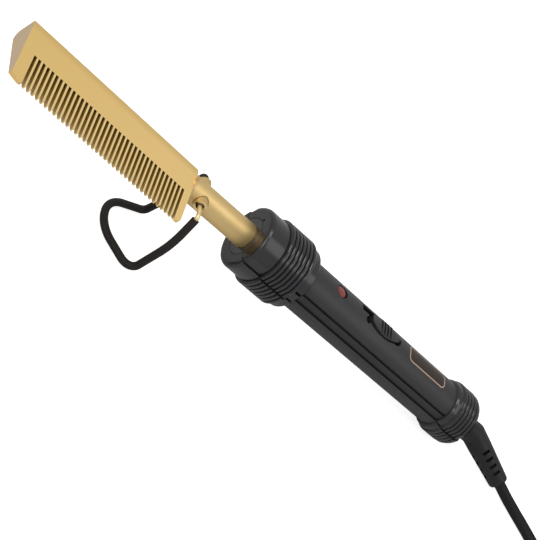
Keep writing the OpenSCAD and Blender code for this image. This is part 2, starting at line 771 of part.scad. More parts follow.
module plug_body() color("#232326") ground() translate(plug_start) rotate([0, 0, plug_yaw]) {
    revolve([[0, 0], [0, 4.2], [8, 5], [8, 0]]);
    translate([8, -plug_size[1] / 2, -plug_size[2] / 2]) difference() {
        cube(plug_size - [8, 0, 0]);
        for (y = [-1, plug_size[1] - 4]) translate([-1, y, -1]) cube([6, 5, plug_size[2] + 2]);
    }
}

module plug_blades() color("#c9c7c0") ground() translate(plug_start) rotate([0, 0, plug_yaw])
    for (side = [-1, 1]) translate([plug_size[0], side * 6.35 - 0.75, -3.15]) cube([17, 1.5, 6.3]);

comb_head();
heater_cartridge();
heater_bead();
thermal_fuse();
barrel_tube();
stand_bosses();
stand_wire();
stand_sleeve();
front_bush();
tube_collar();
handle_top();
handle_bottom();
handle_screws();
pilot_lens();
neon_lamp();
lamp_resistor();
switch_knob();
slide_shield();
contact_bridge();
switch_body();
switch_screws();
switch_terminals();
low_heat_diode();
live_lead();
neutral_lead();
feed_lead();
return_lead();
crimp_cap();
brush_carrier();
brush_springs();
swivel_core();
slip_rings();
cord_boot();
mains_cord();
cord_coil();
cord_tie();
cord_tail();
plug_body();
plug_blades();
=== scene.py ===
import math

import bmesh
import bpy
from mathutils import Matrix, Vector


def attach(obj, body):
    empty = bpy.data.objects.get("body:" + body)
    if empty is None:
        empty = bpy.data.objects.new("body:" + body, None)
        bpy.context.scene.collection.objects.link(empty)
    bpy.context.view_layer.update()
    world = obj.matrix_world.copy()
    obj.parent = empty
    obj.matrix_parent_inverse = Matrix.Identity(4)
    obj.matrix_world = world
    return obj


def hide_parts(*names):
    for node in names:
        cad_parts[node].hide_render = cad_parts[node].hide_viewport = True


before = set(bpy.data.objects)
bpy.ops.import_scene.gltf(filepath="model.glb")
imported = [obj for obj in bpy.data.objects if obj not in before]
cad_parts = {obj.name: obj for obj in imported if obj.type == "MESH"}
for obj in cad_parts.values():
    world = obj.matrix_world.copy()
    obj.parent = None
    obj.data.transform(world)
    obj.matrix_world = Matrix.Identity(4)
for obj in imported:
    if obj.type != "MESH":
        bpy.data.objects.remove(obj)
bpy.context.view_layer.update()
mm = 0.001
farAway = 1000  # mm, past every piece; the open end of a zone

# The tool rests with its axis sloping down to the cord. Its points, in mm, have x back from the handle's
# front face, y to the far side and z up across the axis; a ground point has its z above the floor
stance = {"slope": math.radians(7.68), "rise": 36.1794, "middle": (15.92, -3.45)}


def groundPoint(x, y, z):
    return Vector((x - stance["middle"][0], y - stance["middle"][1], z)) * mm


def toolPoint(x, y, z):
    c, s = math.cos(stance["slope"]), math.sin(stance["slope"])
    return groundPoint(c * x + s * z, y, c * z - s * x + stance["rise"])


toolStart = toolPoint(0, 0, 0)
toolAxis = (toolPoint(1, 0, 0) - toolStart).normalized()
toolUp = (toolPoint(0, 0, 1) - toolStart).normalized()
toolSide = Vector((0, 1, 0))


# The camera's place and turn were solved from the straight edges in the photo
def makeCamera():
    view = {"place": (-0.30483, -0.47203, 0.44305), "forward": (0.442244, 0.675171, -0.590394),
            "right": (0.743336, 0.092423, 0.662503), "lens": 102.03, "sensor": 36, "clip": (0.01, 50)}
    forward, right = Vector(view["forward"]), Vector(view["right"])
    up = right.cross(forward)
    data = bpy.data.cameras.new("photoCamera")
    data.lens = view["lens"]
    data.sensor_width = view["sensor"]
    data.clip_start, data.clip_end = view["clip"]
    camera = bpy.data.objects.new("photoCamera", data)
    turn = Matrix((right, up, -forward)).transposed().to_4x4()
    camera.matrix_world = Matrix.Translation(Vector(view["place"])) @ turn
    bpy.context.scene.collection.objects.link(camera)
    bpy.context.scene.camera = camera
    print("camera placed")


makeCamera()


# Links the socket to another one, or sets its number, vector or colour
def feed(tree, socket, value):
    if isinstance(value, bpy.types.NodeSocket):
        tree.links.new(value, socket)
    elif socket.type == "RGBA":
        socket.default_value = tuple(value) + (1,)
    elif socket.type == "VECTOR":
        socket.default_value = tuple(value)
    else:
        socket.default_value = value


def addNode(tree, kind, inputs=(), **settings):
    node = tree.nodes.new("ShaderNode" + kind)
    for name, value in settings.items():
        setattr(node, name, value)
    for label, value in dict(inputs).items():
        feed(tree, node.inputs[label], value)
    return node


def mathNode(tree, operation, *values, clamp=False):
    return addNode(tree, "Math", enumerate(values), operation=operation, use_clamp=clamp).outputs[0]


def vectorNode(tree, operation, *values):
    node = addNode(tree, "VectorMath", enumerate(values), operation=operation)
    return node.outputs["Value" if operation in ("DOT_PRODUCT", "LENGTH") else "Vector"]


# Pale floor under plain soft light: a lamp over the cord's end, one over the comb's, a narrow one above
studio = {"air": 0.60, "floorColour": 0.62, "floorLift": 0.82, "floorHalf": 6, "floorDrop": 0.0002,
          "aim": (0.03, 0, 0.03)}
lamps = {
    "keyLight": {"direction": (0.50, -0.32, 0.80), "distance": 1.5, "size": (0.9, 0.9), "power": 3.2},
    "sideLight": {"direction": (-0.75, -0.35, 0.75), "distance": 1.8, "size": (1.1, 0.9), "power": 8.0},
    "topLight": {"direction": (-0.38, 0.09, 0.92), "distance": 1.2, "size": (0.40, 0.90), "power": 3.8},
}


# The camera sees a white world; the pieces are lit by a dimmer one
def lightAir():
    world = bpy.data.worlds.new("studioAir")
    bpy.context.scene.world = world
    world.use_nodes = True
    tree = world.node_tree
    tree.nodes.clear()
    seen = addNode(tree, "LightPath").outputs["Is Camera Ray"]
    dim, white = [addNode(tree, "Background", {"Color": (1, 1, 1), "Strength": strength}).outputs[0]
                  for strength in (studio["air"], 1)]
    mixed = addNode(tree, "MixShader", enumerate((seen, dim, white)))
    addNode(tree, "OutputWorld", {"Surface": mixed.outputs[0]})


# The floor looks paler to the camera than it is to the light, so it stays plain white between soft shadows
def layFloor():
    half = studio["floorHalf"]
    corners = [(-half, -half, 0), (half, -half, 0), (half, half, 0), (-half, half, 0)]
    mesh = bpy.data.meshes.new("studioFloor")
    mesh.from_pydata(corners, [], [(0, 1, 2, 3)])
    floor = bpy.data.objects.new("studioFloor", mesh)
    floor.location.z = -studio["floorDrop"]
    bpy.context.scene.collection.objects.link(floor)
    paint = bpy.data.materials.new("paleFloor")
    paint.use_nodes = True
    tree = paint.node_tree
    tree.nodes.clear()
    seen = addNode(tree, "LightPath").outputs["Is Camera Ray"]
    matt = addNode(tree, "BsdfDiffuse", {"Color": (studio["floorColour"],) * 3})
    lift = addNode(tree, "Emission", {"Strength": mathNode(tree, "MULTIPLY", seen, studio["floorLift"])})
    both = addNode(tree, "AddShader", enumerate((matt.outputs[0], lift.outputs[0])))
    addNode(tree, "OutputMaterial", {"Surface": both.outputs[0]})
    mesh.materials.append(paint)


def softLight(name, direction, distance, size, power):
    data = bpy.data.lights.new(name, "AREA")
    data.shape = "RECTANGLE"
    data.size, data.size_y = size
    data.energy = power
    light = bpy.data.objects.new(name, data)
    towards = Vector(direction).normalized()
    light.location = Vector(studio["aim"]) + towards * distance
    light.rotation_euler = towards.to_track_quat("Z", "Y").to_euler()
    bpy.context.scene.collection.objects.link(light)


lightAir()
layFloor()
for name, lamp in lamps.items():
    softLight(name, **lamp)
bpy.context.scene.view_settings.view_transform = "Standard"
print("studio lit")


# Effects that the materials share, each a group of shader nodes with one output
def newGroup(name, inputs, output):
    group = bpy.data.node_groups.new(name, "ShaderNodeTree")
    for label, value in inputs.items():
        kind = "NodeSocketVector" if isinstance(value, tuple) else "NodeSocketFloat"
        socket = group.interface.new_socket(name=label, in_out="INPUT", socket_type=kind)
        socket.default_value = value
    group.interface.new_socket(name=output, in_out="OUTPUT", socket_type="NodeSocketFloat")
    given, result = group.nodes.new("NodeGroupInput"), group.nodes.new("NodeGroupOutput")
    return group, given.outputs, result.inputs[output]


# 0 where the value is below the start, 1 from a soft width above it
def ramp(tree, value, start, soft):
    return mathNode(tree, "DIVIDE", mathNode(tree, "SUBTRACT", value, start), soft, clamp=True)


# Distance in mm from the middle of the handle's front face, measured along the given direction
def distanceAlong(tree, given):
    away = vectorNode(tree, "SUBTRACT", given["Vector"], toolStart)
    return mathNode(tree, "MULTIPLY", vectorNode(tree, "DOT_PRODUCT", away, given["Direction"]), 1 / mm)


# Slow change of tone over a surface
def makeMottle():
    mottle = {"detail": 5, "roughness": 0.55, "low": 0.3, "high": 0.7}
    group, given, mask = newGroup("softMottle", {"Vector": (0, 0, 0), "Scale": 60.0}, "Mask")
    noise = addNode(group, "TexNoise", {"Vector": given["Vector"], "Scale": given["Scale"],
                                        "Detail": mottle["detail"], "Roughness": mottle["roughness"]})
    spread = addNode(group, "MapRange", {"Value": noise.outputs["Fac"], "From Min": mottle["low"],
                                         "From Max": mottle["high"]})
    feed(group, mask, spread.outputs["Result"])
    return group


# Fine relief, drawn out along an axis by a stretch below 1
def makeGrain():
    inputs = {"Vector": (0, 0, 0), "Scale": 4000.0, "Stretch": (1, 1, 1)}
    group, given, height = newGroup("fineGrain", inputs, "Height")
    stretched = vectorNode(group, "MULTIPLY", given["Vector"], given["Stretch"])
    noise = addNode(group, "TexNoise", {"Vector": stretched, "Scale": given["Scale"], "Detail": 3})
    feed(group, height, noise.outputs["Fac"])
    return group


# 1 between two distances along a direction, else 0
def makeZone():
    inputs = {"Vector": (0, 0, 0), "Direction": tuple(toolAxis), "From": 0.0, "To": 10.0, "Soft": 0.5}
    group, given, mask = newGroup("zoneAlong", inputs, "Mask")
    along = distanceAlong(group, given)
    past = ramp(group, along, given["From"], given["Soft"])
    before = ramp(group, given["To"], along, given["Soft"])
    feed(group, mask, mathNode(group, "MULTIPLY", past, before))
    return group


# 1 within a radius in mm of a line that runs across the tool through a point, else 0
def makeAround():
    inputs = {"Vector": (0, 0, 0), "Point": (0, 0, 0), "Radius": 1.0, "Soft": 0.2}
    group, given, mask = newGroup("roundAxis", inputs, "Mask")
    away = vectorNode(group, "SUBTRACT", given["Vector"], given["Point"])
    away = vectorNode(group, "MULTIPLY", away, (1 / mm, 0, 1 / mm))
    feed(group, mask, ramp(group, given["Radius"], vectorNode(group, "LENGTH", away), given["Soft"]))
    return group


# 1 within a reach in mm of evenly pitched places along a direction, else 0
def makeRows():
    inputs = {"Vector": (0, 0, 0), "Direction": tuple(toolAxis), "Start": 0.0, "Pitch": 1.0, "Reach": 0.5,
              "Soft": 0.1}
    group, given, mask = newGroup("evenRows", inputs, "Mask")
    offset = mathNode(group, "SUBTRACT", distanceAlong(group, given), given["Start"])
    nearest = mathNode(group, "PINGPONG", offset, mathNode(group, "MULTIPLY", given["Pitch"], 0.5))
    feed(group, mask, ramp(group, given["Reach"], nearest, given["Soft"]))
    return group


softMottle = makeMottle()
fineGrain = makeGrain()
zoneAlong = makeZone()
roundAxis = makeAround()
evenRows = makeRows()


# A material whose colour and roughness drift over the surface, with a fine grain in its relief.
# The scales are per metre and the depth of the grain is in mm
class Finish:
    def __init__(self, name, colour, shade=None, rough=0.4, roughSpread=0.1, metal=0, specular=0.5,
                 coat=0, coatRough=0.1, mottle=60, grain=4000, stretch=(1, 1, 1), strength=0.1, depth=0.02):
        self.material = bpy.data.materials.new(name)
        self.material.use_nodes = True
        self.tree = self.material.node_tree
        self.shader = self.tree.nodes["Principled BSDF"]
        for label, value in (("Metallic", metal), ("Specular IOR Level", specular), ("Coat Weight", coat),
                             ("Coat Roughness", coatRough)):
            feed(self.tree, self.shader.inputs[label], value)
        self.coords = addNode(self.tree, "TexCoord").outputs
        mottled = self.group(softMottle, Scale=mottle)
        relief = self.group(fineGrain, Scale=grain, Stretch=stretch)
        bump = addNode(self.tree, "Bump", {"Strength": strength, "Distance": depth * mm, "Height": relief})
        feed(self.tree, self.shader.inputs["Normal"], bump.outputs["Normal"])
        self.paint(self.mix(mottled, colour, shade or [0.8 * c for c in colour]))
        self.sheen(self.spread(mottled, rough, rough + roughSpread))

    def group(self, kind, **values):
        node = addNode(self.tree, "Group", node_tree=kind)
        for label, value in dict(values, Vector=self.coords["Object"]).items():
            feed(self.tree, node.inputs[label], value)
        return node.outputs[0]

    def mix(self, factor, first, second):
        node = addNode(self.tree, "Mix", {0: factor, 6: first, 7: second}, data_type="RGBA")
        return node.outputs[2]

    def blend(self, factor, first, second):
        node = addNode(self.tree, "Mix", {0: factor, 2: first, 3: second}, data_type="FLOAT")
        return node.outputs[0]

    def spread(self, value, low, high, start=0, end=1):
        inputs = {"Value": value, "From Min": start, "From Max": end, "To Min": low, "To Max": high}
        return addNode(self.tree, "MapRange", inputs).outputs["Result"]

    def math(self, operation, *values, clamp=False):
        return mathNode(self.tree, operation, *values, clamp=clamp)

    def zone(self, start, end, soft=0.2, direction=toolAxis):
        return self.group(zoneAlong, From=start, To=end, Soft=soft, Direction=direction)

    def facing(self, direction, low=0.6, high=0.95, bothWays=False):
        value = vectorNode(self.tree, "DOT_PRODUCT", self.coords["Normal"], direction)
        if bothWays:
            value = self.math("ABSOLUTE", value)
        return self.spread(value, 0, 1, low, high)

    def paint(self, colour):
        self.colour = colour
        feed(self.tree, self.shader.inputs["Base Color"], colour)

    def sheen(self, roughness):
        self.roughness = roughness
        feed(self.tree, self.shader.inputs["Roughness"], roughness)


brassComb = Finish("satinCastBrass", (0.88, 0.62, 0.235), (0.85, 0.59, 0.215), rough=0.40, roughSpread=0.05,
                   metal=0.85, mottle=45, grain=2600, strength=0.18, depth=0.03)
brassTube = Finish("drawnBrass", (0.80, 0.59, 0.27), (0.77, 0.56, 0.25), rough=0.48, roughSpread=0.04,
                   metal=1, mottle=70, grain=3000, stretch=(0.15, 1, 1))
brassFitting = Finish("turnedBrass", (0.86, 0.67, 0.36), (0.82, 0.63, 0.32), rough=0.34, roughSpread=0.04,
                      metal=0.8, mottle=80, grain=5000, strength=0.05, depth=0.01)
wireBrass = Finish("brightWire", (0.88, 0.70, 0.38), (0.85, 0.66, 0.34), rough=0.34, roughSpread=0.04,
                   metal=0.7, mottle=120, grain=5000, strength=0.05, depth=0.01)
sleeving = Finish("sleeving", (0.008, 0.006, 0.005), (0.011, 0.008, 0.007), rough=0.55, roughSpread=0.15,
                  specular=0.35, mottle=180, grain=2500, strength=0.30, depth=0.1)
heaterSteel = Finish("heaterSheath", (0.55, 0.55, 0.54), rough=0.3, metal=1)
ceramic = Finish("mattCeramic", (0.80, 0.76, 0.66), rough=0.55)

gripPlastic = Finish("mouldedGrip", (0.016, 0.016, 0.018), (0.019, 0.019, 0.021), rough=0.42,
                     roughSpread=0.04, mottle=35, grain=2200, strength=0.16, depth=0.03)
bushPlastic = Finish("bushPlastic", (0.016, 0.016, 0.017), rough=0.14, roughSpread=0.04, mottle=90)
knobPlastic = Finish("knobPlastic", (0.020, 0.020, 0.022), rough=0.36, roughSpread=0.06, mottle=120,
                     grain=2600, strength=0.2, depth=0.03)
redLens = Finish("redLens", (0.22, 0.020, 0.017), (0.18, 0.017, 0.014), rough=0.28, roughSpread=0.05,
                 mottle=300, coat=0.3)
plateField = Finish("plateField", (0.024, 0.015, 0.010), (0.030, 0.019, 0.013), rough=0.34, mottle=400,
                    specular=0.3)
plateLine = Finish("plateLine", (0.50, 0.36, 0.28), (0.45, 0.32, 0.25), rough=0.36, metal=0.35, mottle=500)

innerPlastic = Finish("innerPlastic", (0.006, 0.006, 0.007), rough=0.6)
contactBrass = Finish("stampedBrass", (0.62, 0.45, 0.20), rough=0.28, metal=1)
steel = Finish("platedSteel", (0.56, 0.57, 0.58), rough=0.25, metal=1)
lampGlass = Finish("lampGlass", (0.85, 0.55, 0.38), rough=0.1)
resistorBody = Finish("resistorBody", (0.48, 0.32, 0.15), rough=0.4)
leadWhite = Finish("braidedInsulation", (0.66, 0.62, 0.52), rough=0.7, grain=3000, strength=0.5, depth=0.1)
leadDark = Finish("darkInsulation", (0.025, 0.025, 0.03), rough=0.45)

bootRubber = Finish("bootRubber", (0.007, 0.007, 0.008), (0.010, 0.010, 0.011), rough=0.42, specular=0.32,
                    mottle=90, grain=2400, strength=0.25, depth=0.04)
cordJacket = Finish("cordJacket", (0.007, 0.007, 0.008), (0.010, 0.010, 0.011), rough=0.45, specular=0.2,
                    grain=2600, strength=0.2, depth=0.04)
tieStrap = Finish("tieStrap", (0.010, 0.010, 0.011), (0.020, 0.020, 0.021), rough=0.75,
                  mottle=900, grain=3800, strength=0.8, depth=0.2)
plugPlastic = Finish("plugPlastic", (0.014, 0.014, 0.015), (0.018, 0.018, 0.019), rough=0.42,
                     mottle=80, grain=2400, strength=0.2, depth=0.04)
bladeMetal = Finish("platedBlade", (0.72, 0.68, 0.60), rough=0.22, metal=1)


# Painted shade darkens the walls inside the comb's slots and stripes of tooth face beside them, least near
# the tips.
# Painted highlight brightens the tooth faces, the comb grows brighter towards the rear, and painted shade
# darkens the front end face and the spine's far shoulder
def paintCombLight():
    comb = {
        "front": -139.57, "rear": -39.2, "tips": -24.2, "slotRoots": -8.7, "slotSpan": (-133.87, -42.6),
        "firstSlot": -132.87, "pitch": 2.47, "tilt": math.radians(1.2), "slotReach": 0.80, "tipReach": 6.5,
        "wall": (0.60, 0.40, 0.07), "wallTips": (0.62, 0.47, 0.22), "edge": (0.10, 0.055, 0.008),
        "edgeShadeTips": (0.20, 0.135, 0.05), "slotRough": 0.5, "teeth": (0.99, 0.77, 0.38), "teethShare": 0.5,
        "rearColour": (0.97, 0.685, 0.28), "frontEnd": (0.66, 0.50, 0.31), "frontDepth": 0.5,
        "shoulder": (0.66, 0.46, 0.17), "shoulderFrom": 1,
    }
    brass = brassComb
    along = math.cos(comb["tilt"]) * toolAxis - math.sin(comb["tilt"]) * toolUp
    toothed = brass.zone(-farAway, comb["slotRoots"], direction=toolSide)
    inSlots = brass.math("MULTIPLY", toothed, brass.zone(*comb["slotSpan"]))
    rows = brass.group(evenRows, Direction=along, Start=comb["firstSlot"], Pitch=comb["pitch"],
                       Reach=comb["slotReach"], Soft=0.12)
    # Painted shade on the slot walls and on stripes of tooth face beside each slot, lighter near the tips
    walls = brass.math("MULTIPLY", inSlots, brass.facing(toolAxis, low=0.55, high=0.85, bothWays=True))
    slotEdgeShade = brass.math("MULTIPLY", inSlots, rows)
    nearTips = brass.zone(-farAway, comb["tips"] + comb["tipReach"], soft=5, direction=toolSide)
    # Painted shade on the comb's front end face
    atFront = brass.zone(-farAway, comb["front"] + comb["frontDepth"], soft=0.3)
    frontEnd = brass.math("MULTIPLY", brass.facing(-toolAxis), atFront)
    towardRear = brass.zone(comb["front"], farAway, soft=comb["rear"] - comb["front"])
    # Painted shade along the spine's far shoulder, where its curve turns from the light
    shoulder = brass.zone(comb["shoulderFrom"], farAway, soft=6, direction=toolSide)

    colour = brass.mix(towardRear, brass.colour, comb["rearColour"])
    colour = brass.mix(shoulder, colour, comb["shoulder"])
    colour = brass.mix(frontEnd, colour, comb["frontEnd"])
    # Painted highlight: the tooth faces are blended halfway towards a lighter brass
    colour = brass.mix(inSlots, colour, brass.mix(comb["teethShare"], colour, comb["teeth"]))
    colour = brass.mix(slotEdgeShade, colour, brass.mix(nearTips, comb["edge"], comb["edgeShadeTips"]))
    brass.paint(brass.mix(walls, colour, brass.mix(nearTips, comb["wall"], comb["wallTips"])))
    # The painted-shade areas in and beside the slots are rougher as well
    slotShadeMask = brass.math("MAXIMUM", walls, slotEdgeShade)
    brass.sheen(brass.blend(slotShadeMask, brass.roughness, comb["slotRough"]))
    print("comb light painted")


# The bosses keep the brass's own colour on their rims, with painted shade down their sides and darker painted
# shade in the cup.
# The tube has a painted contact shadow round them and painted shade between them and the comb
def shadeBosses():
    boss = {"pivot": toolPoint(-31, 0, 1.5), "rim": 7.35, "cup": 2.3, "dark": (0.13, 0.075, 0.015),
            "side": (0.66, 0.47, 0.19), "contactShadow": (0.26, 0.16, 0.05), "contactShadowRadius": 3.75,
            "neck": (-45, -37.6), "neckShade": (0.62, 0.46, 0.24)}
    rims = brassFitting.math("ADD", *[brassFitting.zone(boss["rim"], farAway, soft=0.1, direction=outward)
                                      for outward in (-toolSide, toolSide)])
    flat = brassFitting.facing(toolSide, low=0.45, high=0.75, bothWays=True)
    bright = brassFitting.math("MULTIPLY", rims, flat, clamp=True)
    # Painted shade: darker down the boss sides, darkest in the cup; the rims keep the brass's own colour
    cup = brassFitting.group(roundAxis, Point=boss["pivot"], Radius=boss["cup"], Soft=0.1)
    bossShade = brassFitting.mix(cup, boss["side"], boss["dark"])
    brassFitting.paint(brassFitting.mix(bright, bossShade, brassFitting.colour))
    # Painted contact shadow on the tube round each boss
    contactShadow = brassTube.group(roundAxis, Point=boss["pivot"], Radius=boss["contactShadowRadius"], Soft=0.35)
    # Painted shade on the tube where the comb's rear meets it
    neck = brassTube.mix(brassTube.zone(*boss["neck"], soft=0.8), brassTube.colour, boss["neckShade"])
    brassTube.paint(brassTube.mix(contactShadow, neck, boss["contactShadow"]))
    print("bosses shaded")


# The collars came from polished parts of the mould, the grip from a satin one. Painted shade darkens the sunk
# strips and the front face, and the grooves above the strips are painted lighter
def polishCollars():
    grip = {"span": (33.5, 145.2), "collarRough": 0.17, "strips": (-0.2, 5.9),
            "stripShade": (0.009, 0.009, 0.010), "frontDepth": 1.5, "frontShade": (0.003, 0.003, 0.003),
            "grooves": (4.4, 5.8), "grooveLight": (0.045, 0.045, 0.049)}
    plastic = gripPlastic
    satin = plastic.zone(*grip["span"], soft=0.6)
    strips = plastic.math("MULTIPLY", satin, plastic.zone(*grip["strips"], direction=toolUp))
    grooves = plastic.math("MULTIPLY", satin, plastic.zone(*grip["grooves"], soft=0.15, direction=toolUp))
    front = plastic.math("MULTIPLY", plastic.zone(-farAway, grip["frontDepth"], soft=0.5),
                         plastic.facing(-toolAxis, low=0.7))
    # Painted shade on the sunk strips
    colour = plastic.mix(strips, plastic.colour, grip["stripShade"])
    # Painted shade on the handle's front face
    colour = plastic.mix(front, colour, grip["frontShade"])
    # Painted light in the grooves above the strips, lifting them out of their shade
    plastic.paint(plastic.mix(grooves, colour, grip["grooveLight"]))
    plastic.sheen(plastic.blend(satin, grip["collarRough"], plastic.roughness))
    print("collars polished")


paintCombLight()
shadeBosses()
polishCollars()

nodeFinish = {
    "comb_head": brassComb, "heater_cartridge": heaterSteel, "heater_bead": ceramic, "thermal_fuse": ceramic,
    "barrel_tube": brassTube, "stand_bosses": brassFitting, "stand_wire": wireBrass, "stand_sleeve": sleeving,
    "front_bush": bushPlastic, "tube_collar": steel, "handle_top": gripPlastic, "handle_bottom": gripPlastic,
    "handle_screws": steel, "pilot_lens": redLens, "neon_lamp": lampGlass, "lamp_resistor": resistorBody,
    "switch_knob": knobPlastic, "slide_shield": innerPlastic, "contact_bridge": contactBrass,
    "switch_body": innerPlastic, "switch_screws": steel, "switch_terminals": contactBrass,
    "low_heat_diode": innerPlastic, "live_lead": leadWhite, "neutral_lead": leadWhite, "feed_lead": leadDark,
    "return_lead": leadDark, "crimp_cap": ceramic, "brush_carrier": innerPlastic,
    "brush_springs": contactBrass, "swivel_core": innerPlastic, "slip_rings": contactBrass,
    "cord_boot": bootRubber, "plug_blades": bladeMetal,
}
softEdges = {"comb_head": 0.12, "stand_bosses": 0.15, "handle_top": 0.18, "handle_bottom": 0.18,
             "switch_knob": 0.2, "cord_boot": 0.2, "plug_blades": 0.25}


def dressNode(name, finish):
    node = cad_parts[name]
    node.data.materials.clear()
    node.data.materials.append(finish.material)
    for face in node.data.polygons:
        face.material_index = 0


def softenEdges(name, width, fromAngle=35):
    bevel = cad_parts[name].modifiers.new("softEdge", "BEVEL")
    bevel.width = width * mm
    bevel.segments = 2
    bevel.limit_method = "ANGLE"
    bevel.angle_limit = math.radians(fromAngle)
    bevel.harden_normals = True


def addPiece(name, data, finish, body):
    piece = bpy.data.objects.new(name, data)
    bpy.context.scene.collection.objects.link(piece)
    data.materials.append(finish.material)
    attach(piece, body)
    return piece


# The angle in degrees is the one from which an edge stays sharp
def finishMesh(work, name, angle):
    bmesh.ops.recalc_face_normals(work, faces=work.faces)
    mesh = bpy.data.meshes.new(name)
    work.to_mesh(mesh)
    work.free()
    mesh.shade_smooth()
    mesh.set_sharp_from_angle(angle=math.radians(angle))
    return mesh


# A skin over rings of points, closed at both ends unless the rings themselves close up
def skin(name, rings, angle, closed=False):
    work = bmesh.new()
    loops = [[work.verts.new(p) for p in ring] for ring in rings]
    count = len(loops[0])
    for first, second in zip(loops, loops[1:] + (loops[:1] if closed else [])):
        for k in range(count):
            work.faces.new((first[k], first[(k + 1) % count], second[(k + 1) % count], second[k]))
    if not closed:
        work.faces.new(list(reversed(loops[0])))
        work.faces.new(loops[-1])
    return finishMesh(work, name, angle)


# A smooth curve through every point, in the given number of steps from each to the next
def smoothLine(points, steps):
    line = []
    for i in range(len(points) - 1):
        a, b = points[max(i - 1, 0)], points[i]
        c, d = points[i + 1], points[min(i + 2, len(points) - 1)]
        for k in range(steps):
            t = k / steps
            line.append(0.5 * ((2 * b) + (c - a) * t + (2 * a - 5 * b + 4 * c - d) * t * t
                               + (3 * b - a - 3 * c + d) * t ** 3))
    line.append(points[-1])
    return line


# The coil's turns go up two by two: out, in, in, out, each change spread over part of a turn
coil = {"centre": (283, -14), "outer": 36, "inner": 30, "startAngle": -64.3, "turns": 7.12, "shiftAngle": 36,
        "stepsPerTurn": 36, "layerHeights": (3.05, 9.05, 15.05, 21.05)}


def coilTurns():
    sites = []
    for k, height in enumerate(coil["layerHeights"]):
        pair = [(coil["outer"], height), (coil["inner"], height)]
        sites += pair if k % 2 == 0 else pair[::-1]
    turns = []
    for i in range(1, int(coil["turns"] * coil["stepsPerTurn"]) + 1):
        sweep = 360 * i / coil["stepsPerTurn"]
        radius, height = sites[0]
        for k, (here, there) in enumerate(zip(sites, sites[1:])):
            end = 360 * (k + 1) - coil["shiftAngle"] * k
            t = min(max((sweep - end + coil["shiftAngle"]) / coil["shiftAngle"], 0), 1)
            t = t * t * (3 - 2 * t)  # eases in and out
            if t > 0:
                radius = here[0] + (there[0] - here[0]) * t
                height = here[1] + (there[1] - here[1]) * t
        angle = math.radians(coil["startAngle"] + sweep)
        turns.append(Vector((coil["centre"][0] + radius * math.cos(angle),
                             coil["centre"][1] + radius * math.sin(angle), height)))
    return turns


# One cord from the strain relief over the floor to the coil, round it, and up to the plug on top
def makeCord(withPieces):
    cord = {"diameter": 6, "stepsBetween": 3, "roundness": 5,
            "route": [(201.3, -13.6, 6.1), (204.8, -15.4, 5.2), (208.6, -17.4, 4.2), (212.7, -19.8, 3.5),
                      (216.8, -22.8, 3.1), (220.8, -26.2, 3.05), (225.6, -30.6, 3.05), (232.4, -36.9, 3.05),
                      (242.6, -44.4, 3.05), (254.1, -49.5, 3.05), (266.3, -52.1, 3.05), (278.9, -52.1, 3.05),
                      (289.1, -50.1, 3.05), (298.6, -46.5, 3.05)],
            "tail": [(318.1, -10.9, 23.6), (315.2, -2.3, 25.6), (310.4, 5.2, 26.8), (303.3, 12, 27.05),
                     (293.2, 17.4, 27.05), (281.8, 19, 27.05), (270.6, 16.6, 27.05), (260.9, 10.5, 27.05),
                     (253.9, 1.5, 27.05), (250.7, -7.1, 27.05), (250, -14, 27.05), (250.8, -20.2, 27.1),
                     (253.2, -26, 27.5), (257, -31, 28.2), (262, -34.8, 29), (267.8, -37.2, 29.8),
                     (274, -38, 30.2), (277, -38, 30.2)]}
    points = [Vector(p) for p in cord["route"]] + coilTurns() + [Vector(p) for p in cord["tail"]]
    line = [groundPoint(*p) for p in smoothLine(points, cord["stepsBetween"])]
    curve = bpy.data.curves.new("mainsCord", "CURVE")
    curve.dimensions = "3D"
    spline = curve.splines.new("POLY")
    spline.points.add(len(line) - 1)
    for place, p in zip(spline.points, line):
        place.co = tuple(p) + (1,)
    curve.bevel_depth = cord["diameter"] / 2 * mm
    curve.bevel_resolution = cord["roundness"]
    curve.use_fill_caps = True
    piece = addPiece("mainsCord", curve, cordJacket, "cord")
    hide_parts("mains_cord", "cord_coil", "cord_tail")


